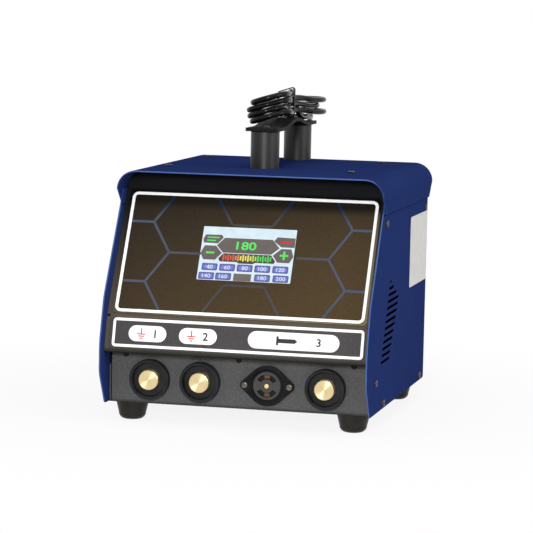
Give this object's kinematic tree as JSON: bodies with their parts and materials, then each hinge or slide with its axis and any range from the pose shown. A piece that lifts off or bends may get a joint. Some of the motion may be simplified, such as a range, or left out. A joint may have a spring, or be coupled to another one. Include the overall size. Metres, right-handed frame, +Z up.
{
  "type": "stud welder",
  "caption": "Portable capacitor-discharge stud welder: blue sheet-metal case with a sloping touch-screen front, brass weld sockets, a gun receptacle and a strap handle holding its mains lead.",
  "frame": {"origin": "on the floor under the middle of the case's bounding box, without the mains cord", "axes": "+Z up, front towards -Y, +X to the right seen from the front"},
  "size_m": [0.3094, 0.4254, 0.3717],
  "materials": {
    "blue_paint": "semi-gloss powder coat",
    "black_paint": "satin",
    "socket_panel_grey": "fine texture",
    "face_print": "printed film, satin",
    "strip_print": "printed film, satin",
    "screen_glass": "glossy",
    "circuit_board": "glossy",
    "foot_rubber": "matt",
    "zinc_steel": "bright",
    "black_screw": "black oxide",
    "black_plastic": "satin",
    "grey_plastic": "satin",
    "brass": "turned",
    "post_black": "satin",
    "strap_black": "matt",
    "rocker_plastic": "glossy",
    "button_plastic": "glossy",
    "capacitor_can": "sleeved",
    "tray_plastic": "matt",
    "copper": "bare",
    "core_steel": "laminated",
    "sink_aluminium": "anodised",
    "cord_rubber": "glossy jacket",
    "tie_plastic": "satin"
  },
  "bodies": {
    "case": {"base_pan": "socket_panel_grey", "lower_front_panel": "socket_panel_grey", "front_panel": "black_paint", "face_film": "face_print", "strip_film": "strip_print", "touch_screen": "screen_glass", "display_board": "circuit_board", "side_panel_left": "blue_paint", "side_panel_right": "blue_paint", "hood": "blue_paint", "rear_panel": "black_paint", "foot_front_left": "foot_rubber", "foot_front_right": "foot_rubber", "foot_rear_left": "foot_rubber", "foot_rear_right": "foot_rubber", "foot_screws": "zinc_steel", "side_screws": "black_screw", "hood_screws": "black_screw", "lower_panel_screws": "black_screw", "socket_ring_ground_a": "black_plastic", "socket_ring_ground_b": "black_plastic", "socket_ring_gun": "black_plastic", "brass_stud_ground_a": "brass", "brass_stud_ground_b": "brass", "brass_stud_gun": "brass", "stud_nuts": "brass", "control_receptacle": "black_plastic", "control_insert": "grey_plastic", "control_contacts": "brass", "control_screws_pair": "zinc_steel", "handle_post_front": "post_black", "handle_post_rear": "post_black", "handle_strap": "strap_black", "handle_bolts": "black_screw", "handle_nuts": "zinc_steel", "switch_housing": "black_plastic", "breaker_body": "black_plastic", "fan_frame": "black_plastic", "fan_guard": "zinc_steel", "capacitors": "capacitor_can", "capacitor_tray": "tray_plastic", "bus_bars": "copper", "transformer_core": "core_steel", "transformer_coil": "copper", "heat_sink": "sink_aluminium", "rectifier": "black_plastic", "thyristor": "zinc_steel", "control_board": "circuit_board", "board_standoffs": "brass", "cord_gland": "black_plastic", "strain_relief": "cord_rubber", "cord_lead": "cord_rubber", "cord_hank": "cord_rubber", "cord_tail": "cord_rubber", "cord_tie": "tie_plastic", "plug_body": "cord_rubber", "plug_blades": "brass"},
    "rocker": {"power_rocker": "rocker_plastic"},
    "button": {"breaker_button": "button_plastic"},
    "rotor": {"fan_rotor": "black_plastic"}
  },
  "joints": [
    {"name": "rocker_tilt", "type": "hinge", "parent": "case", "child": "rocker", "pos_m": [-0.1, 0.15725, 0.2], "axis": [-1, 0, 0], "range_deg": [0, 24]},
    {"name": "breaker_reset", "type": "slide", "parent": "case", "child": "button", "axis": [0, 1, 0], "range_m": [0, 0.006]},
    {"name": "fan_spin", "type": "hinge", "parent": "case", "child": "rotor", "pos_m": [-0.075, 0.16125, 0.096], "axis": [0, 1, 0], "continuous": true}
  ]
}
